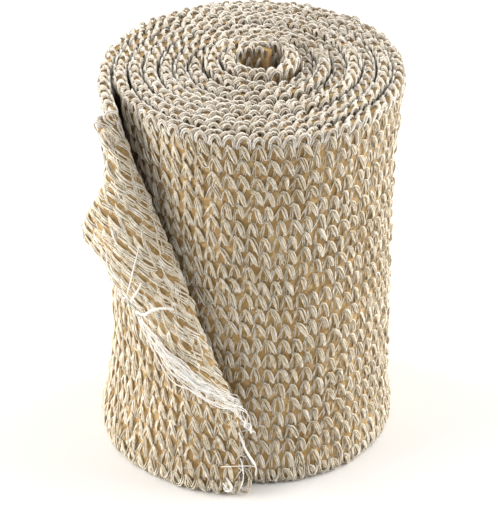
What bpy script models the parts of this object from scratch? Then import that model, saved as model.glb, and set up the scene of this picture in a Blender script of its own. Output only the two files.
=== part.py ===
"""Cohesive bandage: one knitted strip wound on itself round a small open core.

The outer turn works loose towards its free end, and the end's top corner is folded
outwards and down along a slanting crease. Metres, +Z up along the roll's axis. The
origin is the middle of the box round the bandage, on the surface that it stands on.
"""

from collections import namedtuple
from math import cos, hypot, pi, radians, sin

import bmesh
import bpy
from mathutils import Vector

# The knitted strip
BANDAGE_WIDTH = 0.080
CLOTH_THICKNESS = 0.0023
CLOTH_COLOUR = (0.70, 0.60, 0.44, 1.0)
CLOTH_ROUGHNESS = 0.93
CLOTH_METALLIC = 0.0

# The winding
CORE_HOLE_RADIUS = 0.0030
TURNS_WOUND = 8.6
TURN_GAP = 0.0003
WINDING_SLACK = 0.0014
FREE_END_ANGLE = radians(268.0)
COLUMNS_PER_TURN = 30
PROUD_MOST = 0.0026
SELVAGE_FLARE = 0.0021

# The loose end: its outward stand-off, its slanting cut and its crease
LOOSE_MOST = 0.0075
CUT_SLANT = 0.0022
CREASE_CUT_HEIGHT = 0.0095
CREASE_SELVAGE_REACH = 0.0285
FOLD_RADIUS = 0.0015
FOLD_STEPS = 6
CORNER_CELL = 0.0055

# How the winding runs from its inner end: turns wound, how far that turn's edges stand
# proud as a share of PROUD_MOST, and the slack taken up as a share of WINDING_SLACK.
Winding = namedtuple("Winding", "turn proud slack")
WINDING = (
    Winding(0.00, 1.00, 0.00),
    Winding(1.00, 1.00, 0.18),
    Winding(1.45, 0.80, 0.30),
    Winding(1.90, 0.10, 0.45),
    Winding(2.85, 0.45, 0.55),
    Winding(3.85, 0.05, 0.68),
    Winding(4.85, 0.42, 0.72),
    Winding(5.85, 0.12, 0.80),
    Winding(6.85, 0.22, 0.90),
    Winding(7.70, 0.00, 1.00),
    Winding(8.60, 0.00, 1.00),
)

# The roll's side from its foot to its top: height as a share of the bandage's width,
# and how far the cloth stands out there as a share of SELVAGE_FLARE.
Side = namedtuple("Side", "height out")
SIDE = (
    Side(0.00, 0.45),
    Side(0.04, 0.45),
    Side(0.13, 0.05),
    Side(0.50, 0.00),
    Side(0.80, 0.20),
    Side(0.90, 0.60),
    Side(1.00, 1.00),
)

# Where the outer turn stands off the roll, as shares of LOOSE_MOST: the way back from
# the free end as a share of a turn, and the stand-off at four heights of the strip.
LOOSE_HEIGHTS = (0.04, 0.25, 0.60, 1.0)
Loose = namedtuple("Loose", "back foot quarter upper top")
LOOSE = (
    Loose(0.00, 0.16, 0.28, 0.20, 0.92),
    Loose(0.15, 0.39, 0.02, 0.00, 0.36),
    Loose(0.24, 0.33, 0.10, 0.00, 0.02),
    Loose(0.32, 0.25, 0.20, 0.00, 0.00),
    Loose(0.55, 0.00, 0.00, 0.00, 0.00),
)

# The folded corner, by the share of the crease from the cut edge to the selvage: how far
# the cloth is turned over, how far it droops in its own plane, and how closely it follows
# the roll's curve.
Fold = namedtuple("Fold", "along turned droop follow")
FOLD = (
    Fold(0.00, radians(88), radians(27), 0.45),
    Fold(0.12, radians(113), radians(28), 0.80),
    Fold(0.30, radians(139), radians(29), 1.15),
    Fold(0.50, radians(163), radians(28), 1.39),
    Fold(0.70, radians(137), radians(18.5), 1.41),
    Fold(0.86, radians(145), radians(37.5), 1.45),
    Fold(1.00, radians(200), radians(110), 2.00),
)

# What follows from the sizes above
START_RADIUS = CORE_HOLE_RADIUS + CLOTH_THICKNESS / 2
END_RADIUS = START_RADIUS + TURNS_WOUND * (CLOTH_THICKNESS + TURN_GAP) + WINDING_SLACK
OUTER_TURN = 2 * pi * END_RADIUS
CREASE_FOOT = Vector((0.0, CREASE_CUT_HEIGHT))
CREASE_TOP = Vector((CREASE_SELVAGE_REACH, BANDAGE_WIDTH))
CREASE_LENGTH = (CREASE_TOP - CREASE_FOOT).length
CREASE_WAY = (CREASE_TOP - CREASE_FOOT) / CREASE_LENGTH
CORNER_WAY = Vector((-CREASE_WAY.y, CREASE_WAY.x))
FRAME_STEP = 0.0005


def share_between(rows, column, place):
    """The column's value at a place on the table's first column, smooth from row to row."""
    last = len(rows) - 1
    place = min(max(place, rows[0][0]), rows[last][0])
    at = next((i for i in range(last) if place <= rows[i + 1][0]), last - 1)

    def rise(i):
        change = getattr(rows[i + 1], column) - getattr(rows[i], column)
        return change / (rows[i + 1][0] - rows[i][0])

    def slope(i):
        before, after = rise(max(i - 1, 0)), rise(min(i, last - 1))
        return 2 * before * after / (before + after) if before * after > 0 else 0.0

    low, high = rows[at], rows[at + 1]
    span = high[0] - low[0]
    t = (place - low[0]) / span
    start, end = getattr(low, column), getattr(high, column)
    ease = t * t * (3 - 2 * t)
    bend_in = t * (1 - t) ** 2 * span * slope(at)
    bend_out = t * t * (1 - t) * span * slope(at + 1)
    return start + (end - start) * ease + bend_in - bend_out


def stand_off(back, height):
    """How far the loose outer turn stands off the roll."""
    columns = Loose._fields[1:]
    share = height / BANDAGE_WIDTH
    at = sum(share > level for level in LOOSE_HEIGHTS[1:-1])
    low, high = LOOSE_HEIGHTS[at], LOOSE_HEIGHTS[at + 1]
    t = max(share - low, 0.0) / (high - low)
    under = share_between(LOOSE, columns[at], back / OUTER_TURN)
    over = share_between(LOOSE, columns[at + 1], back / OUTER_TURN)
    return LOOSE_MOST * (under + (over - under) * t)


def wound(back, height):
    """The cloth's middle surface as wound, by the way back from the free end."""
    turn = TURNS_WOUND - back / OUTER_TURN
    slack = WINDING_SLACK * share_between(WINDING, "slack", turn)
    radius = START_RADIUS + turn * (CLOTH_THICKNESS + TURN_GAP) + slack
    side = share_between(SIDE, "out", height / BANDAGE_WIDTH)
    radius += SELVAGE_FLARE * side * radius / END_RADIUS + stand_off(back, height)
    angle = FREE_END_ANGLE - back / END_RADIUS
    lift = PROUD_MOST * share_between(WINDING, "proud", turn)
    return Vector((radius * cos(angle), radius * sin(angle), height + lift))


def crease_frame(along):
    """At a place along the crease: its point, the cloth's normal, and two ways in the cloth,
    along the crease and across it towards the corner."""
    flat = CREASE_FOOT + CREASE_WAY * along
    point = wound(flat.x, flat.y)
    by_back = wound(flat.x + FRAME_STEP, flat.y) - wound(flat.x - FRAME_STEP, flat.y)
    by_height = wound(flat.x, flat.y + FRAME_STEP) - wound(flat.x, flat.y - FRAME_STEP)
    normal = by_height.cross(by_back).normalized()
    if normal.dot(Vector((point.x, point.y, 0.0))) < 0:
        normal = -normal
    way = by_back * CREASE_WAY.x + by_height * CREASE_WAY.y
    way = (way - normal * way.dot(normal)).normalized()
    across = way.cross(normal)
    if across.dot(by_back * CORNER_WAY.x + by_height * CORNER_WAY.y) < 0:
        across = -across
    return point, normal, way, across


def folded(along, out):
    """A point of the corner, out past the crease: round the fold, then over the roll."""
    point, normal, way, across = crease_frame(along)
    share = along / CREASE_LENGTH
    turned = share_between(FOLD, "turned", share)
    droop = share_between(FOLD, "droop", share)
    curve = share_between(FOLD, "follow", share) / END_RADIUS
    round_fold = min(out / FOLD_RADIUS, turned)
    point += across * FOLD_RADIUS * sin(round_fold)
    point += normal * FOLD_RADIUS * (1 - cos(round_fold))
    rest = out - FOLD_RADIUS * turned
    if rest <= 0:
        return point
    drooped = across * cos(droop) + way * sin(droop)
    if abs(curve * rest) < 1e-6:
        return point + (drooped * cos(turned) + normal * sin(turned)) * rest
    sideways = (sin(turned + curve * rest) - sin(turned)) / curve
    outward = (cos(turned) - cos(turned + curve * rest)) / curve
    return point + drooped * sideways + normal * outward


def placed(back, height):
    """A point of the flat strip, wound and, past the crease, folded."""
    from_foot = Vector((back, height)) - CREASE_FOOT
    out = from_foot.dot(CORNER_WAY)
    if out <= 0:
        return wound(back, height)
    return folded(from_foot.dot(CREASE_WAY), out)


def cut_along(mesh, faces, point, across, clear=False):
    """Cuts the faces along a line of the flat strip, and can drop what lies past it."""
    edges = {edge for face in faces for edge in face.edges}
    verts = {vert for face in faces for vert in face.verts}
    bmesh.ops.bisect_plane(
        mesh,
        geom=[*verts, *edges, *faces],
        plane_co=(point.x, point.y, 0.0),
        plane_no=(across.x, across.y, 0.0),
        dist=CLOTH_THICKNESS / 100,
        clear_outer=clear,
    )


def flat_strip():
    """The strip laid flat: x is the way back from the free end, y the height.

    Its columns lie at equal angles of the winding and its rows at the heights of SIDE.
    Near the free end its cells lie along the crease instead, and narrow in the fold.
    """
    columns = round(TURNS_WOUND * COLUMNS_PER_TURN)
    length = TURNS_WOUND * OUTER_TURN
    mesh = bmesh.new()
    bmesh.ops.create_grid(mesh, x_segments=columns, y_segments=len(SIDE) - 1, size=0.5)
    for vert in mesh.verts:
        row = round((vert.co.y + 0.5) * (len(SIDE) - 1))
        vert.co.x = (vert.co.x + 0.5) * length
        vert.co.y = SIDE[row].height * BANDAGE_WIDTH

    column = length / columns
    end_reach = (int(CREASE_SELVAGE_REACH / column) + 2) * column
    end = [face for face in mesh.faces if face.calc_center_median().x < end_reach]
    bmesh.ops.dissolve_faces(mesh, faces=end)

    def end_faces():
        return [face for face in mesh.faces if face.calc_center_median().x < end_reach]

    fold_arc = FOLD_RADIUS * pi
    fold_cuts = [fold_arc * step / FOLD_STEPS for step in range(FOLD_STEPS + 1)]
    reach = hypot(end_reach, BANDAGE_WIDTH)
    cells = int(reach / CORNER_CELL) + 1
    beyond = [fold_arc + CORNER_CELL * step for step in range(1, cells)]
    before = [-CORNER_CELL * step for step in range(1, cells)]
    for out in fold_cuts + beyond + before:
        cut_along(mesh, end_faces(), CREASE_FOOT + CORNER_WAY * out, CORNER_WAY)
    for step in range(-cells, cells):
        point = CREASE_FOOT + CREASE_WAY * (CORNER_CELL * (step + 0.5))
        cut_along(mesh, end_faces(), point, CREASE_WAY)
    foot_row = Vector((0.0, SIDE[1].height * BANDAGE_WIDTH))
    cut_along(mesh, end_faces(), foot_row, Vector((0.0, 1.0)))
    cut_way = Vector((-BANDAGE_WIDTH, -CUT_SLANT)).normalized()
    cut_along(mesh, end_faces(), Vector((0.0, BANDAGE_WIDTH)), cut_way, clear=True)
    bmesh.ops.remove_doubles(mesh, verts=mesh.verts, dist=CLOTH_THICKNESS / 8)
    return mesh


def cloth_material():
    """Undyed cotton yarn, matt."""
    material = bpy.data.materials.new("bandage_cloth")
    material.use_nodes = True
    shader = material.node_tree.nodes["Principled BSDF"]
    shader.inputs["Base Color"].default_value = CLOTH_COLOUR
    shader.inputs["Roughness"].default_value = CLOTH_ROUGHNESS
    shader.inputs["Metallic"].default_value = CLOTH_METALLIC
    return material


def make_bandage(collection):
    """The whole bandage: the strip's middle surface, wound and folded, given its thickness."""
    strip = flat_strip()
    for vert in strip.verts:
        vert.co = placed(vert.co.x, vert.co.y)
    bmesh.ops.recalc_face_normals(strip, faces=strip.faces)
    data = bpy.data.meshes.new("bandage")
    strip.to_mesh(data)
    strip.free()
    data.shade_smooth()
    bandage = bpy.data.objects.new("bandage", data)
    bandage.data.materials.append(cloth_material())
    collection.objects.link(bandage)
    thickness = bandage.modifiers.new("cloth thickness", "SOLIDIFY")
    thickness.thickness = CLOTH_THICKNESS
    thickness.offset = 0.0
    return bandage


def stand_on_origin(thing):
    """Moves the mesh so that the origin is the middle of its box, on its lowest face."""
    bpy.context.view_layer.update()
    solid = thing.evaluated_get(bpy.context.evaluated_depsgraph_get())
    corners = [Vector(corner) for corner in solid.bound_box]
    low = Vector(map(min, zip(*corners)))
    high = Vector(map(max, zip(*corners)))
    for vert in thing.data.vertices:
        vert.co -= Vector(((low.x + high.x) / 2, (low.y + high.y) / 2, low.z))


for old in list(bpy.data.objects):
    bpy.data.objects.remove(old)
bandage_collection = bpy.data.collections.new("cohesive_bandage")
bpy.context.scene.collection.children.link(bandage_collection)
stand_on_origin(make_bandage(bandage_collection))
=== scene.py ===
"""Cohesive bandage: a coarse knitted cotton strip wound on itself, its cut corner folded over."""

from math import pi, radians

import bpy
import numpy as np
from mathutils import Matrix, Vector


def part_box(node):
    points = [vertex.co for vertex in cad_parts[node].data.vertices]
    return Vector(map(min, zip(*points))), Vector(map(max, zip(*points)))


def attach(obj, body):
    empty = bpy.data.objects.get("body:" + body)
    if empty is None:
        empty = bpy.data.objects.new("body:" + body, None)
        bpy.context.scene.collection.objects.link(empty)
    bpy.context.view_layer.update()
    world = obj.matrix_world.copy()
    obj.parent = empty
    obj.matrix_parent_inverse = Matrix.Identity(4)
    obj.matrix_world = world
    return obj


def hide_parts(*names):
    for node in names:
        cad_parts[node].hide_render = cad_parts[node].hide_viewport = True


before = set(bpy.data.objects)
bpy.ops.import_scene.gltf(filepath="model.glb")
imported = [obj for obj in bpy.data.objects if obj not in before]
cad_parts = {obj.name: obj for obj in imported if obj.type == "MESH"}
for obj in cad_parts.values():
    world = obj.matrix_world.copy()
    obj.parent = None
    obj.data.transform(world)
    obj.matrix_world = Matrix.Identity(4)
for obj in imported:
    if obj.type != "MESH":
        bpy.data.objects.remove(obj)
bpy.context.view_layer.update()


# The cloth's ground: the knit's inner yarns, which close it behind the stitches. One strip,
# 80 mm wide, wound 8.6 turns round a finger-wide core, then loosened and folded at its
# free end. It is a closed, thin sheet at the middle of the cloth, darker ochre than the yarn:
# painted shade, which shows in the hollows between the stitches.
BANDAGE_WIDTH = 0.080
CLOTH_THICKNESS = 0.0023
START_RADIUS = 0.00415
TURNS_WOUND = 8.6
TURN_PITCH = 0.0026
WINDING_SLACK = 0.0014
FREE_END_ANGLE = radians(268.0)
PROUD_MOST = 0.0026
SELVAGE_FLARE = 0.0021
LOOSE_MOST = 0.0075
CUT_SLANT = 0.0022
FOLD_RADIUS = 0.0015
END_RADIUS = START_RADIUS + TURNS_WOUND * TURN_PITCH + WINDING_SLACK
OUTER_TURN = 2 * pi * END_RADIUS
STRIP_LENGTH = TURNS_WOUND * OUTER_TURN
# turn, share of PROUD_MOST, share of WINDING_SLACK
WINDING = np.array([
    (0.00, 1.00, 0.00), (1.00, 1.00, 0.18), (1.45, 0.80, 0.30), (1.90, 0.10, 0.45),
    (2.85, 0.45, 0.55), (3.85, 0.05, 0.68), (4.85, 0.42, 0.72), (5.85, 0.12, 0.80),
    (6.85, 0.22, 0.90), (7.70, 0.00, 1.00), (8.60, 0.00, 1.00)])
# share of the height, share of SELVAGE_FLARE
SIDE = np.array([
    (0.00, 0.45), (0.04, 0.45), (0.13, 0.05), (0.50, 0.00), (0.80, 0.20), (0.90, 0.60),
    (1.00, 1.00)])
# share of a turn back from the free end, shares of LOOSE_MOST at LOOSE_HEIGHTS
LOOSE_HEIGHTS = np.array([0.04, 0.25, 0.60, 1.0])
LOOSE = np.array([
    (0.00, 0.16, 0.28, 0.20, 0.92), (0.15, 0.39, 0.02, 0.00, 0.36),
    (0.24, 0.33, 0.10, 0.00, 0.02), (0.32, 0.25, 0.20, 0.00, 0.00),
    (0.55, 0.00, 0.00, 0.00, 0.00)])
# share of the crease from the cut to the selvage, turned over, drooped, follows the roll
FOLD = np.array([
    (0.00, radians(115), radians(66), 0.77), (0.12, radians(117), radians(62), 1.40),
    (0.30, radians(118), radians(49), 2.00), (0.50, radians(141), radians(43), 2.64),
    (0.70, radians(117), radians(38), 2.58), (0.82, radians(117), radians(37), 1.93),
    (0.91, radians(167), radians(72), 0.83), (1.00, radians(202), radians(120), 0.83)])
CREASE_FOOT = np.array([0.0, 0.0095])
CREASE_TOP = np.array([0.0285, BANDAGE_WIDTH])
CREASE_LENGTH = np.linalg.norm(CREASE_TOP - CREASE_FOOT)
CREASE_WAY = (CREASE_TOP - CREASE_FOOT) / CREASE_LENGTH
CORNER_WAY = np.array([-CREASE_WAY[1], CREASE_WAY[0]])


def along_table(table, column, place):
    """The column at a place on the table's first column, smooth from row to row."""
    at_row, value = table[:, 0], table[:, column]
    place = np.clip(place, at_row[0], at_row[-1])
    row = np.clip(np.searchsorted(at_row, place, side="left") - 1, 0, len(at_row) - 2)
    rise = np.diff(value) / np.diff(at_row)
    before, after = np.append(rise[0], rise), np.append(rise, rise[-1])
    steady = before * after > 0
    slope = np.where(steady, 2 * before * after / np.where(steady, before + after, 1), 0)
    span = at_row[row + 1] - at_row[row]
    t = (place - at_row[row]) / span
    bend = t * (1 - t) ** 2 * slope[row] - t * t * (1 - t) * slope[row + 1]
    return value[row] + (value[row + 1] - value[row]) * t * t * (3 - 2 * t) + span * bend


def wound(back, height):
    """The cloth's middle surface in the roll, by the way back from the free end."""
    turn = TURNS_WOUND - back / OUTER_TURN
    radius = START_RADIUS + turn * TURN_PITCH + WINDING_SLACK * along_table(WINDING, 2, turn)
    share = height / BANDAGE_WIDTH
    radius = radius * (1 + SELVAGE_FLARE / END_RADIUS * along_table(SIDE, 1, share))
    level = np.clip(np.searchsorted(LOOSE_HEIGHTS, share, side="left") - 1, 0, 2)
    low, high = LOOSE_HEIGHTS[level], LOOSE_HEIGHTS[level + 1]
    loose = np.stack([along_table(LOOSE, column, back / OUTER_TURN) for column in (1, 2, 3, 4)])
    under = np.take_along_axis(loose, level[None], 0)[0]
    over = np.take_along_axis(loose, level[None] + 1, 0)[0]
    rise = (over - under) * np.maximum(share - low, 0) / (high - low)
    radius = radius + LOOSE_MOST * (under + rise)
    angle = FREE_END_ANGLE - back / END_RADIUS
    lift = PROUD_MOST * along_table(WINDING, 1, turn)
    return np.stack([radius * np.cos(angle), radius * np.sin(angle), height + lift], -1)


def unit(vectors):
    """The vectors at length one."""
    return vectors / np.maximum(np.linalg.norm(vectors, axis=-1, keepdims=True), 1e-12)


def folded(along, out):
    """A point of the corner, out past the crease: round the fold, then over the roll."""
    flat = CREASE_FOOT + CREASE_WAY * along[..., None]
    step = 0.0005
    point = wound(flat[..., 0], flat[..., 1])
    by_back = wound(flat[..., 0] + step, flat[..., 1]) - wound(flat[..., 0] - step, flat[..., 1])
    by_height = wound(flat[..., 0], flat[..., 1] + step) - wound(flat[..., 0], flat[..., 1] - step)
    normal = unit(np.cross(by_height, by_back))
    way = by_back * CREASE_WAY[0] + by_height * CREASE_WAY[1]
    way = unit(way - normal * np.sum(way * normal, -1, keepdims=True))
    across = np.cross(way, normal)
    towards = by_back * CORNER_WAY[0] + by_height * CORNER_WAY[1]
    across = across * np.where(np.sum(across * towards, -1, keepdims=True) < 0, -1, 1)
    share = along / CREASE_LENGTH
    turned = along_table(FOLD, 1, share)
    droop = along_table(FOLD, 2, share)[..., None]
    curve = along_table(FOLD, 3, share) / END_RADIUS
    round_fold = np.minimum(out / FOLD_RADIUS, turned)[..., None]
    point = point + across * FOLD_RADIUS * np.sin(round_fold)
    point = point + normal * FOLD_RADIUS * (1 - np.cos(round_fold))
    rest = np.maximum(out - FOLD_RADIUS * turned, 0)
    drooped = across * np.cos(droop) + way * np.sin(droop)
    sideways = (np.sin(turned + curve * rest) - np.sin(turned)) / curve
    outward = (np.cos(turned) - np.cos(turned + curve * rest)) / curve
    return point + drooped * sideways[..., None] + normal * outward[..., None]


def past_crease(back, height):
    """How far along the crease and out past it a place of the flat strip lies."""
    along = (back - CREASE_FOOT[0]) * CREASE_WAY[0] + (height - CREASE_FOOT[1]) * CREASE_WAY[1]
    out = (back - CREASE_FOOT[0]) * CORNER_WAY[0] + (height - CREASE_FOOT[1]) * CORNER_WAY[1]
    return along, out


def placed(back, height):
    """A place of the flat strip's middle surface, wound and, past the crease, folded."""
    along, out = past_crease(back, height)
    return np.where((out > 0)[..., None], folded(along, np.maximum(out, 0)), wound(back, height))


def on_cloth(back, height, out):
    """A point that far out from the cloth's middle, and the cloth's outward normal there."""
    back, height, out = np.broadcast_arrays(back, height, out)
    step = 0.00025
    by_back = placed(back + step, height) - placed(back - step, height)
    by_height = placed(back, height + step) - placed(back, height - step)
    normal = unit(np.cross(by_height, by_back))
    return placed(back, height) + normal * out[..., None] + TO_FRAME, normal


def edge_back(height):
    """Where the slanting cut runs, as the way back at a height."""
    return CUT_SLANT * (1 - height / BANDAGE_WIDTH)


# the roll's place in the frame, from the solid's sides that the folded corner doesn't reach
TO_FRAME = np.zeros(3)
outer_back, outer_height = np.meshgrid(
    np.linspace(0, OUTER_TURN, 720), np.linspace(0, BANDAGE_WIDTH, 120))
outer_turn = np.concatenate([
    on_cloth(outer_back, outer_height, side * CLOTH_THICKNESS / 2)[0].reshape(-1, 3)
    for side in (-1, 1)])
low, high = (np.array(corner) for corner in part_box("bandage"))
TO_FRAME = np.append(high[:2] - outer_turn.max(0)[:2], low[2] - outer_turn[:, 2].min())

# how far along the cloth each way back is really wound, so that stitches keep their size
LENGTH_BACK = np.linspace(0, STRIP_LENGTH, 4000)
HALF_UP = LENGTH_BACK * 0 + BANDAGE_WIDTH / 2
TURN_RADIUS = np.linalg.norm(wound(LENGTH_BACK, HALF_UP)[:, :2], axis=1)
SHRUNK = (TURN_RADIUS[1:] + TURN_RADIUS[:-1]) / 2 / END_RADIUS
LENGTH_WOUND = np.append(0, np.cumsum(SHRUNK * np.diff(LENGTH_BACK)))
GROUND_THICKNESS = 0.0012
FREE_REACH = 0.036
FREE_STEP = 0.0009
WOUND_STEP = 0.0017
GROUND_ROWS = 48


def linear(hex_colour, alpha=1.0):
    """An sRGB hex colour as the linear colour that a shader takes."""
    parts = [int(hex_colour[i:i + 2], 16) / 255 for i in (0, 2, 4)]
    parts = [c / 12.92 if c <= 0.04045 else ((c + 0.055) / 1.055) ** 2.4 for c in parts]
    return (*parts, alpha)


def add_node(tree, kind, settings=None, links=None):
    """A node with its settings (sockets by name or number, else properties) and its links in."""
    node = tree.nodes.new(kind)
    for name, value in (settings or {}).items():
        if isinstance(name, int) or name in node.inputs:
            node.inputs[name].default_value = value
        else:
            setattr(node, name, value)
    for name, source in (links or {}).items():
        tree.links.new(source, node.inputs[name])
    return node


def cotton(name, shade, tone, light, roughness, bump):
    """Undyed cotton yarn as spun: matt, with a cream body, greyer and whiter lengths, and
    short fibres that lie round the twist. The eye sees soft, speckled, chalky cream."""
    material = bpy.data.materials.new(name)
    material.use_nodes = True
    tree = material.node_tree
    shader = tree.nodes["Principled BSDF"]
    place = add_node(tree, "ShaderNodeTexCoord").outputs["Object"]
    # cloudy changes over 9 mm, from lot to lot of the yarn and from handling
    cloud = add_node(
        tree, "ShaderNodeTexNoise", {"Scale": 110.0, "Detail": 2.0}, {"Vector": place})
    # one stitch differs from the next, 1.2 mm
    stitch = add_node(
        tree, "ShaderNodeTexNoise", {"Scale": 800.0, "Detail": 1.0}, {"Vector": place})
    # fibre bundles, 0.2 mm
    fibre = add_node(
        tree, "ShaderNodeTexNoise", {"Scale": 5200.0, "Detail": 2.0}, {"Vector": place})
    body = add_node(tree, "ShaderNodeValToRGB", links={"Fac": cloud.outputs["Fac"]})
    first, last = body.color_ramp.elements
    first.position, last.position = 0.36, 0.62
    first.color, last.color = linear(shade), linear(tone)
    pale = add_node(tree, "ShaderNodeValToRGB", links={"Fac": stitch.outputs["Fac"]})
    first, last = pale.color_ramp.elements
    first.position, last.position = 0.46, 0.70
    first.color, last.color = (0, 0, 0, 1), (1, 1, 1, 1)
    spun = add_node(tree, "ShaderNodeMix", {"data_type": "RGBA", 7: linear(light)},
                    {0: pale.outputs["Color"], 6: body.outputs["Color"]})
    speck = add_node(tree, "ShaderNodeMapRange", {1: 0.3, 2: 0.7, 3: 0.91, 4: 1.05},
                     {0: fibre.outputs["Fac"]})
    whole = add_node(
        tree, "ShaderNodeMix", {"data_type": "RGBA", "blend_type": "MULTIPLY", 0: 1.0},
        {6: spun.outputs[2], 7: speck.outputs[0]})
    relief = add_node(tree, "ShaderNodeBump", {"Strength": bump, "Distance": 0.00007},
                      {"Height": fibre.outputs["Fac"]})
    tree.links.new(whole.outputs[2], shader.inputs["Base Color"])
    tree.links.new(relief.outputs["Normal"], shader.inputs["Normal"])
    shader.inputs["Roughness"].default_value = roughness
    shader.inputs["Specular IOR Level"].default_value = 0.15
    shader.inputs["Sheen Weight"].default_value = 0.15
    shader.inputs["Sheen Roughness"].default_value = 0.5
    return material


def add_piece(name, points, quads, material):
    """A smooth mesh that rides the roll, in the yarn's material."""
    mesh = bpy.data.meshes.new(name)
    mesh.vertices.add(len(points))
    mesh.vertices.foreach_set("co", np.ascontiguousarray(points, np.float32).ravel())
    mesh.loops.add(quads.size)
    mesh.loops.foreach_set("vertex_index", np.ascontiguousarray(quads, np.int32).ravel())
    mesh.polygons.add(len(quads))
    mesh.polygons.foreach_set("loop_start", np.arange(0, quads.size, 4, dtype=np.int32))
    mesh.polygons.foreach_set("use_smooth", np.ones(len(quads), bool))
    mesh.update(calc_edges=True)
    mesh.materials.append(material)
    piece = bpy.data.objects.new(name, mesh)
    bpy.context.scene.collection.objects.link(piece)
    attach(piece, "root")
    return piece


def ground_sheet():
    """The closed sheet: both faces of the strip and the four edges between them."""
    near = np.arange(0, FREE_REACH, FREE_STEP)
    reached = np.interp(FREE_REACH, LENGTH_BACK, LENGTH_WOUND)
    far = np.arange(LENGTH_WOUND[-1], reached, -WOUND_STEP)
    far = np.interp(far, LENGTH_WOUND, LENGTH_BACK)[::-1]
    columns = np.concatenate([near, far])
    rows = np.linspace(0.0005, BANDAGE_WIDTH - 0.0003, GROUND_ROWS)
    back, height = np.meshgrid(columns, rows)
    back = back + (edge_back(height) + 0.0003) * np.clip(1 - back / 0.012, 0, 1)
    faces = [
        on_cloth(back, height, side * GROUND_THICKNESS / 2)[0].reshape(-1, 3) for side in (1, -1)]
    index = np.arange(back.size).reshape(back.shape)
    front = [index[:-1, :-1], index[:-1, 1:], index[1:, 1:], index[1:, :-1]]
    front = np.stack(front, -1).reshape(-1, 4)
    rim = np.concatenate([index[0, :], index[1:, -1], index[-1, -2::-1], index[-2:0:-1, 0]])
    ahead = np.roll(rim, -1)
    size = back.size
    edge = np.stack([rim, rim + size, ahead + size, ahead], -1)
    return np.concatenate(faces), np.concatenate([front[:, ::-1], front + size, edge])


# the ground's ochre, darker than the yarn, is painted shade for the hollows between the stitches
ground_shade_cotton = cotton("inner_yarn_painted_shade", "937548", "a88856", "c2a576", 0.95, 0.4)
ground_points, ground_quads = ground_sheet()
ground = add_piece("bandage_ground", ground_points, ground_quads, ground_shade_cotton)
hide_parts("bandage")


# The stitches of the outer face: yarn of three loose plies, knitted in wales that run
# across the strip. Each stitch has a thick leg that leans down to the right in front, a thin
# one that climbs back to the next apex, and two strands that drop beside a dark slot.
WALE = 0.00255
COURSE = 0.00342
LEAN = 0.073
ROWS = 23
TOP_ROW_DOWN = 0.0016
knit_random = np.random.default_rng(41)


def on_turns(wale):
    """The way back of a wale, counted in stitches of real size from the free end."""
    return np.interp(wale * WALE, LENGTH_WOUND, LENGTH_BACK)


def rounded(control, points):
    """The control path as a smooth line of evenly shared points."""
    control = np.asarray(control, float)
    knots = np.arange(len(control))
    ahead, behind = 2 * control[:1] - control[1:2], 2 * control[-1:] - control[-2:-1]
    padded_path = np.concatenate([ahead, control, behind])
    where = np.linspace(0, len(control) - 1, points)
    cell = np.minimum(where.astype(int), len(control) - 2)
    t = (where - knots[cell])[:, None]
    a, b, c, d = (padded_path[cell + i] for i in range(4))
    square, cube = 2 * a - 5 * b + 4 * c - d, 3 * b - a - 3 * c + d
    return 0.5 * (2 * b + (c - a) * t + square * t ** 2 + cube * t ** 3)


def strands(lines, normals, radii, sides, twist=0.0):
    """Round strands along lines (strand, point, xyz), as points and quads, open at the ends."""
    count, points = lines.shape[:2]
    tangent = unit(np.gradient(lines, axis=1))
    side = unit(np.cross(tangent, normals))
    up = np.cross(side, tangent)
    turn = 2 * pi * np.arange(sides) / sides + twist * np.arange(points)[:, None]
    ring = (side[:, :, None] * np.cos(turn)[None, :, :, None]
            + up[:, :, None] * np.sin(turn)[None, :, :, None])
    ring = lines[:, :, None] + ring * radii[:, :, None, None]
    index = np.arange(count * points * sides).reshape(count, points, sides)
    ahead = np.roll(index, -1, 2)
    quads = np.stack([index[:, :-1], ahead[:, :-1], ahead[:, 1:], index[:, 1:]], -1)
    return ring.reshape(-1, 3), quads.reshape(-1, 4)


def knitted(back, height, path, plies, sides, points, radius, spread, random, face=1, jitter=1.0):
    """One path of the stitch, laid at every given place of the strip.

    path rows: across in wales towards the free end, up in courses, out in mm, radius as a
    share, ply spread as a share. The plies lie side by side, and each place differs a little.
    face is 1 on the outer face and below 0 on the reverse, which may be drawn thinner.
    """
    line = rounded(path, points)
    count = len(back)
    size = 1 + 0.07 * jitter * random.standard_normal((count, 1))
    tilt = 0.10 * jitter * random.standard_normal((count, 1))
    across = line[:, 0] * WALE * size
    up = line[:, 1] * COURSE * size
    across, up = across + tilt * up * 0.6, up - tilt * across * 0.6
    across = across + LEAN * up + 0.00010 * jitter * random.standard_normal((count, 1))
    up = up + 0.00012 * jitter * random.standard_normal((count, 1))
    out = line[:, 2] * 0.001 * (1 + 0.10 * jitter * random.standard_normal((count, 1)))
    slope = unit(np.gradient(np.stack([line[:, 0] * WALE, line[:, 1] * COURSE], -1), axis=0))
    made = []
    for ply in range(plies):
        offset = (ply - (plies - 1) / 2) * spread * line[:, 4]
        offset = offset + 0.00005 * jitter * random.standard_normal((count, 1))
        height_off = 0.00007 * jitter * random.standard_normal((count, 1))
        height_off = height_off - abs(ply - (plies - 1) / 2) * 0.00006
        here_across = across - slope[:, 1] * offset
        here_up = up + slope[:, 0] * offset
        flat_back = back[:, None] - here_across * (END_RADIUS / wound_radius(back))[:, None]
        flat_height = height[:, None] + here_up
        flat_height = np.clip(flat_height, 0.0003, BANDAGE_WIDTH + 0.0009)
        points_3d, normal = on_cloth(flat_back, flat_height, face * (out + height_off))
        thick = radius * line[:, 3] * (1 + 0.10 * jitter * random.standard_normal((count, 1)))
        made.append(strands(points_3d, normal * face, thick, sides, 0.5))
    return made


def wound_radius(back):
    """The radius that the strip is wound to at a way back."""
    return np.interp(back, LENGTH_BACK, TURN_RADIUS)


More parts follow.
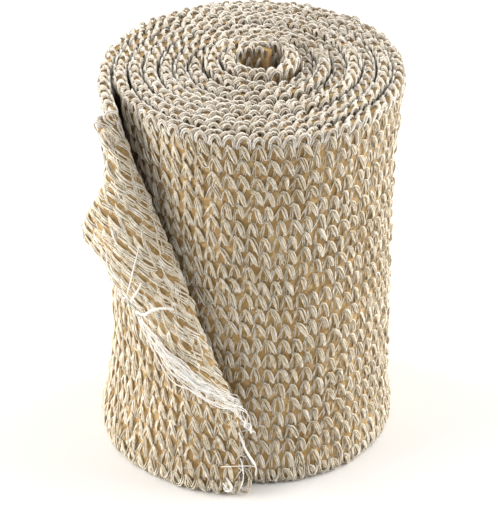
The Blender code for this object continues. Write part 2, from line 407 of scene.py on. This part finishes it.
def joined(made):
    """Several sets of points and quads as one."""
    shift = np.cumsum([0] + [len(points) for points, _ in made[:-1]])
    quads = [quads + start for (_, quads), start in zip(made, shift)]
    return np.concatenate([points for points, _ in made]), np.concatenate(quads)


ZIGZAG = [
    (-0.14, -0.16, 0.70, 0.75, 0.45), (-0.03, 0.02, 0.95, 0.95, 0.75),
    (0.12, -0.12, 1.12, 1.08, 1.0),
    (0.30, -0.42, 1.18, 1.10, 1.05), (0.47, -0.74, 1.05, 0.98, 0.72),
    (0.56, -0.97, 0.72, 0.70, 0.30),
    (0.64, -0.84, 0.60, 0.58, 0.24), (0.76, -0.56, 0.66, 0.62, 0.34),
    (0.88, -0.26, 0.74, 0.64, 0.36),
    (1.00, -0.02, 0.70, 0.50, 0.30)]
LEFT_DROP = [
    (-0.16, -0.12, 0.40, 0.7, 0.6), (-0.22, -0.38, 0.70, 0.95, 1), (-0.25, -0.65, 0.85, 1.0, 1),
    (-0.22, -0.92, 0.70, 0.9, 0.8), (-0.12, -1.15, 0.35, 0.6, 0.5)]
RIGHT_DROP = [
    (0.22, -0.22, 0.35, 0.7, 0.6), (0.26, -0.48, 0.60, 0.95, 1), (0.27, -0.74, 0.78, 1.0, 1),
    (0.23, -0.98, 0.62, 0.9, 0.8), (0.12, -1.18, 0.35, 0.6, 0.5)]

knit_wale, knit_row = np.meshgrid(np.arange(-3, 84), np.arange(ROWS), indexing="ij")
knit_height = BANDAGE_WIDTH - TOP_ROW_DOWN - knit_row * COURSE
knit_back = on_turns(np.maximum(knit_wale, 0) + 0.5) + np.minimum(knit_wale, 0) * WALE
knit_back = knit_back + LEAN * (BANDAGE_WIDTH - knit_height)
# rows drawn by hand winding are never quite level
wave = (0.00025 * np.sin(knit_wale * 0.55 + knit_row * 0.2)
        + 0.0002 * np.sin(knit_wale * 0.21 - knit_row * 0.5))
knit_height = knit_height + wave
knit_back, knit_height = knit_back.ravel(), knit_height.ravel()
# only what shows is knitted: the outer turn up to the crease, and what the corner bares
_, knit_out = past_crease(knit_back, knit_height)
_, under_out = past_crease(knit_back - OUTER_TURN, knit_height)
knit_shown = (knit_out < 0.0035) & (knit_back > edge_back(knit_height) + 0.0006)
knit_shown &= (knit_back < OUTER_TURN + 0.004) | (under_out > -0.006)
knit_back, knit_height = knit_back[knit_shown], knit_height[knit_shown]

face_cotton = cotton("cotton_face_yarn", "cdbfa4", "dbcfb8", "ebe4d6", 0.90, 0.3)
FACE_PLY, FACE_SPREAD = 0.00018, 0.00031
DROP_PLY, DROP_SPREAD = 0.000165, 0.00028
UNEVEN = 1.4
quarters = np.array_split(np.argsort(knit_back, kind="stable"), 4)
for number, part in enumerate(quarters):
    place = knit_back[part], knit_height[part]
    made = knitted(*place, ZIGZAG, 3, 4, 11, FACE_PLY, FACE_SPREAD, knit_random, jitter=UNEVEN)
    made += knitted(*place, LEFT_DROP, 2, 3, 5, DROP_PLY, DROP_SPREAD, knit_random)
    made += knitted(*place, RIGHT_DROP, 2, 3, 5, DROP_PLY, DROP_SPREAD, knit_random)
    add_piece(f"face_stitches_{number + 1}", *joined(made), face_cotton)


# The reverse face of the folded corner: here each wale shows two upright strands and one
# that slants between them over a hollow, where the ground's painted ochre shade shows. The
# cloth is drawn thinner by the fold.
REVERSE_LEFT = [
    (-0.34, 0.22, 0.40, 0.7, 0.8), (-0.26, -0.08, 0.90, 1.0, 1), (-0.20, -0.50, 1.12, 1.1, 1),
    (-0.20, -0.92, 0.98, 1.0, 1), (-0.26, -1.24, 0.45, 0.7, 0.8)]
REVERSE_RIGHT = [
    (0.26, 0.20, 0.38, 0.7, 0.8), (0.22, -0.10, 0.84, 1.0, 1), (0.20, -0.50, 1.02, 1.0, 1),
    (0.24, -0.90, 0.86, 0.9, 1), (0.30, -1.22, 0.42, 0.7, 0.8)]
REVERSE_CROSS = [
    (-0.50, 0.10, 0.55, 0.8, 0.8), (-0.26, -0.20, 0.80, 1.0, 1), (0.02, -0.55, 0.88, 1.0, 1),
    (0.30, -0.90, 0.78, 1.0, 1), (0.52, -1.14, 0.50, 0.8, 0.8)]
REVERSE_BAR = [
    (-0.55, -0.16, 0.40, 0.8, 1), (-0.28, 0.02, 0.62, 0.9, 1), (0.0, 0.06, 0.60, 0.9, 1),
    (0.28, 0.02, 0.62, 0.9, 1), (0.55, -0.16, 0.40, 0.8, 1)]
corner_random = np.random.default_rng(7)
corner_wale, corner_row = np.meshgrid(np.arange(-3, 14), np.arange(ROWS), indexing="ij")
corner_height = (BANDAGE_WIDTH - TOP_ROW_DOWN - corner_row * COURSE).ravel()
corner_back = ((corner_wale + 0.5) * WALE).ravel()
corner_back = corner_back + LEAN * (BANDAGE_WIDTH - corner_height)
_, corner_out = past_crease(corner_back, corner_height)
corner_shown = (corner_out > -0.004) & (corner_back > edge_back(corner_height) + 0.0008)
corner_back, corner_height = corner_back[corner_shown], corner_height[corner_shown]
reverse_cotton = cotton("cotton_reverse_yarn", "e0d2b7", "eae0ca", "f6f1e6", 0.90, 0.3)
place = corner_back, corner_height
THINNED = -0.8
made = []
for path, plies, points, ply, spread, uneven in (
        (REVERSE_LEFT, 3, 9, 0.00016, 0.00030, 1.5), (REVERSE_CROSS, 3, 8, 0.00015, 0.00029, 1.5),
        (REVERSE_RIGHT, 3, 9, 0.00015, 0.00028, 1.0), (REVERSE_BAR, 2, 7, 0.00017, 0.00026, 1.0)):
    made += knitted(*place, path, plies, 4, points, ply, spread, corner_random, THINNED, uneven)
corner_piece = add_piece("corner_reverse_stitches", *joined(made), reverse_cotton)


# The upper selvage: at every wale the yarn turns in an upright loop on both faces and is
# carried over the edge, so each turn's top shows a row of small arches.
ARCH = [
    (-0.36, -0.62, 0.70, 0.7, 1), (-0.36, -0.28, 1.05, 1.0, 1), (-0.24, 0.04, 1.10, 1.05, 1),
    (0.0, 0.15, 0.94, 1.05, 1), (0.24, 0.04, 1.10, 1.05, 1), (0.36, -0.28, 1.05, 1.0, 1),
    (0.36, -0.62, 0.70, 0.7, 1)]
OVER_EDGE = [
    (0.28, -0.30, 0.55, 0.7, 1), (0.38, -0.02, 0.70, 1.0, 1), (0.50, 0.14, 0.30, 1.1, 1),
    (0.62, 0.17, -0.20, 1.1, 1), (0.74, 0.04, -0.65, 1.0, 1), (0.84, -0.26, -0.60, 0.7, 1)]
INNER_ROW_DOWN = 0.0019
edge_random = np.random.default_rng(19)
edge_wales = np.arange(0, int(LENGTH_WOUND[-1] / WALE))
edge_places = on_turns(edge_wales + 0.5)
top_height = np.full(len(edge_places), BANDAGE_WIDTH - 0.0003)
# the selvage yarn is greyer than the face yarn: a painted tint of the cool light that falls on the
# top
selvage_cool_lit_cotton = cotton("selvage_yarn_painted_cool_light", "cbc2b3", "d7cfc1", "e9e5dc", 0.88, 0.3)
place = edge_places, top_height
made = knitted(*place, ARCH, 2, 4, 10, 0.00021, 0.00034, edge_random)
made += knitted(*place, OVER_EDGE, 3, 4, 8, 0.00021, 0.00036, edge_random)
made += knitted(*place, ARCH, 2, 4, 9, 0.00020, 0.00034, edge_random, face=-1)
upper_edge = add_piece("upper_selvage_loops", *joined(made), selvage_cool_lit_cotton)
place = edge_places, top_height - INNER_ROW_DOWN
made = knitted(*place, ZIGZAG, 2, 3, 9, 0.00022, 0.00036, edge_random, face=-1)
upper_row = add_piece("upper_inner_row", *joined(made), selvage_cool_lit_cotton)


# The lower selvage: the same loops turned down, pressed flat where the roll stands on them.
LOW_ARCH = [(x, -y, out, radius, spread) for x, y, out, radius, spread in ARCH]
low_height = np.full(len(edge_places), 0.0013)
place = edge_places, low_height
made = knitted(*place, LOW_ARCH, 2, 3, 9, 0.00020, 0.00032, edge_random)
made += knitted(*place, LOW_ARCH, 1, 3, 9, 0.00020, 0.00032, edge_random, face=-1)
lower_edge = add_piece("lower_selvage_loops", *joined(made), face_cotton)


# The reverse face inside the core: the first turn's stitches, seen down the open hole.
CORE_WALES, CORE_ROWS = 13, 5
core_wale, core_row = np.meshgrid(
    edge_wales[-CORE_WALES:], np.arange(1, CORE_ROWS + 1), indexing="ij")
core_height = (BANDAGE_WIDTH - TOP_ROW_DOWN - core_row * COURSE).ravel()
place = on_turns(core_wale + 0.5).ravel(), core_height
made = knitted(*place, REVERSE_LEFT, 2, 3, 7, 0.00018, 0.00030, edge_random, face=-1)
made += knitted(*place, REVERSE_RIGHT, 2, 3, 7, 0.00018, 0.00030, edge_random, face=-1)
core_lining = add_piece("core_stitches", *joined(made), face_cotton)


# The frayed cut: nothing binds it, so white covering thread has sprung out of the yarn. It
# lies along the edge in a loose, flat bundle, and single ends cross the folded corner.
CUT_THREADS = [  # radius in mm, then back, height and out in mm
    (0.28, [(-0.5, 57.8, -1.3), (0.7, 54.4, -1.9), (2.7, 52.9, -2.2), (4.6, 51.7, -2.2),
            (6.5, 50.1, -2.1),
            (7.5, 48.7, -2.0), (8.3, 47.0, -1.8), (8.9, 45.2, -1.4)]),
    (0.14, [(13.4, 59.6, -1.3), (12.0, 59.1, -1.8), (9.3, 58.5, -1.9), (7.3, 58.3, -1.8),
            (5.0, 58.5, -1.8),
            (2.4, 58.6, -1.5)]),
    (0.24, [(8.8, 55.9, -1.4), (7.6, 56.1, -2.0), (6.2, 56.6, -2.3), (4.8, 57.0, -2.0),
            (4.1, 56.5, -1.6)]),
    (0.19, [(8.3, 66.0, -1.3), (6.6, 64.4, -1.8), (6.3, 62.5, -1.9), (6.3, 61.1, -1.7),
            (5.6, 60.0, -1.4)]),
    (0.33, [(0.3, 80.2, -0.3), (-0.1, 77.0, -0.5), (-0.1, 73.5, -0.5), (0.0, 70.0, -0.5),
            (0.2, 67.0, -0.8)]),
    (0.20, [(0.2, 79.0, 0.5), (-0.4, 75.0, 0.3), (-0.2, 71.5, 0.4), (0.1, 68.0, 0.3)]),
    (0.16, [(1.4, 18.2, -1.2), (0.5, 18.6, -1.9), (-0.6, 19.4, -2.3)]),
    (0.19, [(1.3, 16.6, -1.2), (0.3, 16.9, -2.0), (-0.9, 17.2, -2.5)]),
    (0.18, [(0.4, 16.2, 1.1), (-0.8, 13.4, 1.5), (-1.4, 10.7, 1.5), (-1.9, 8.0, 1.3)]),
    (0.19, [(0.0, 15.0, 1.1), (-1.1, 12.2, 1.6), (-1.2, 8.7, 1.6), (-0.9, 5.1, 1.3)]),
    (0.10, [(5.4, 6.4, 1.0), (4.4, 6.9, 1.6), (2.8, 7.2, 1.7), (0.2, 7.4, 1.6), (-0.8, 7.0, 1.2)]),
    (0.12, [(1.9, 8.8, 1.0), (1.5, 7.7, 1.6), (1.3, 4.7, 1.8), (2.0, 1.8, 1.4)]),
    (0.25, [(4.4, 4.2, 1.0), (3.7, 3.4, 1.7), (3.4, 2.2, 1.8), (4.2, 1.4, 1.6), (4.9, 2.0, 1.2)]),
    (0.22, [(3.2, 1.2, 1.2), (4.2, 2.4, 1.9), (4.9, 3.2, 1.3)]),
    (0.24, [(16.3, 54.0, 0.9), (15.6, 53.4, 2.0), (15.9, 52.3, 2.2), (16.9, 51.4, 1.0)])]
EDGE_BUNDLES = [  # strands, how wide the bundle spreads in mm, then its middle line
    (34, 0.85, [(0.6, 54.5, -1.3), (1.9, 50.0, -1.6), (2.4, 46.0, -1.7), (2.0, 42.0, -1.7),
                (1.6, 38.0, -1.6),
                (1.3, 34.0, -1.6), (1.5, 30.0, -1.7), (2.1, 26.0, -1.7), (2.3, 22.0, -1.7),
                (2.2, 18.0, -1.6),
                (1.4, 14.5, -1.4)]),
    (14, 0.55, [(0.3, 67.5, -0.6), (0.1, 64.0, -0.9), (0.0, 60.5, -0.9), (-0.1, 57.0, -0.9),
                (0.4, 53.5, -1.0)])]
fray_random = np.random.default_rng(23)


def loose_thread(line, radius, points, sides=5):
    """A thread through places of the strip, thinner at both ends."""
    line = rounded(line, points) * 0.001
    place, normal = on_cloth(line[:, 0], line[:, 1], line[:, 2])
    ends = np.sin(pi * np.linspace(0.06, 0.94, points)) ** 0.35
    return strands(place[None], normal[None], (radius * 0.001 * ends)[None], sides)


made = [loose_thread(line, radius, 5 * len(line)) for radius, line in CUT_THREADS]
for count, spread, line in EDGE_BUNDLES:
    for strand in range(count):
        first, last = sorted(fray_random.uniform(0, len(line) - 1, 2))
        first, last = max(0, int(first) - 1), min(len(line), int(last) + 3)
        shift = fray_random.normal(0, spread, 3) * (1.0, 0.4, 0.25)
        wander = fray_random.normal(0, spread * 0.35, (last - first, 3)) * (1.0, 0.2, 0.4)
        strayed = np.array(line[first:last]) + shift + wander
        made.append(loose_thread(strayed, fray_random.uniform(0.06, 0.13), 4 * (last - first), 4))
# short cut ends of yarn stand out of the edge, one every 0.85 mm
for height in np.arange(6.0, 79.5, 0.85):
    start = edge_back(height * 0.001) * 1000 + fray_random.uniform(0.2, 0.9)
    face = fray_random.uniform(-1.2, 0.9)
    reach, rise = fray_random.uniform(0.4, 1.7), fray_random.normal(0, 0.7)
    end = [(start + 0.6, height, face * 0.7), (start, height + rise * 0.3, face),
           (start - reach, height + rise, face * 1.3)]
    made.append(loose_thread(end, fray_random.uniform(0.08, 0.17), 6, 4))
fray_cotton = cotton("bleached_covering_thread", "eeebe4", "f5f3ef", "fdfcfb", 0.75, 0.2)
frayed_cut = add_piece("frayed_threads", *joined(made), fray_cotton)


# The studio: a matt white floor, broad soft lamps at both sides and a milder one above, so
# the flanks are bright and the front is a little greyer. The camera is the photo's: it
# looks 31.6 degrees down from 0.58 m away.
floor_mesh = bpy.data.meshes.new("floor")
floor_mesh.from_pydata([(-3, -3, 0), (3, -3, 0), (3, 3, 0), (-3, 3, 0)], [], [(0, 1, 2, 3)])
floor = bpy.data.objects.new("floor", floor_mesh)
bpy.context.scene.collection.objects.link(floor)
floor_paint = bpy.data.materials.new("matt_white_paint")
floor_paint.use_nodes = True
floor_shader = floor_paint.node_tree.nodes["Principled BSDF"]
floor_shader.inputs["Base Color"].default_value = linear("e8e8e8")
floor_shader.inputs["Roughness"].default_value = 0.9
floor_mesh.materials.append(floor_paint)

world = bpy.data.worlds.new("studio")
world.use_nodes = True
sky = world.node_tree.nodes["Background"]
sky.inputs["Color"].default_value = linear("ffffff")
sky.inputs["Strength"].default_value = 0.26
bpy.context.scene.world = world


def add_lamp(name, place, aim, size, power, colour):
    """A square soft lamp at a place, turned to its aim."""
    light = bpy.data.lights.new(name, "AREA")
    light.shape, light.size, light.energy, light.color = "SQUARE", size, power, linear(colour)[:3]
    lamp = bpy.data.objects.new(name, light)
    bpy.context.scene.collection.objects.link(lamp)
    lamp.location = place
    way = np.array(aim) - np.array(place)
    tilt = np.arccos(-way[2] / np.linalg.norm(way))
    lamp.rotation_euler = (tilt, 0, np.arctan2(way[0], -way[1]) + pi)


HALF_HEIGHT = (0, 0, 0.04)
add_lamp("left_lamp", (-0.68, 0.02, 0.26), HALF_HEIGHT, 0.8, 12.6, "fffaf2")
add_lamp("right_lamp", (0.67, 0.14, 0.26), HALF_HEIGHT, 0.8, 12.2, "fffaf2")
add_lamp("top_lamp", (0.0, 0.10, 0.9), HALF_HEIGHT, 0.8, 3.4, "f6f8ff")

camera_data = bpy.data.cameras.new("camera")
camera_data.lens, camera_data.sensor_width = 194.26, 36.0
camera_data.clip_start, camera_data.clip_end = 0.01, 20.0
camera = bpy.data.objects.new("camera", camera_data)
bpy.context.scene.collection.objects.link(camera)
camera.location = TO_FRAME + (-0.001407, -0.477089, 0.330529)
camera.rotation_euler = (radians(58.424), 0, 0)
bpy.context.scene.camera = camera
bpy.context.scene.view_settings.view_transform = "Standard"
# the photo's shadows are lifted a little
bpy.context.scene.view_settings.gamma = 1.1
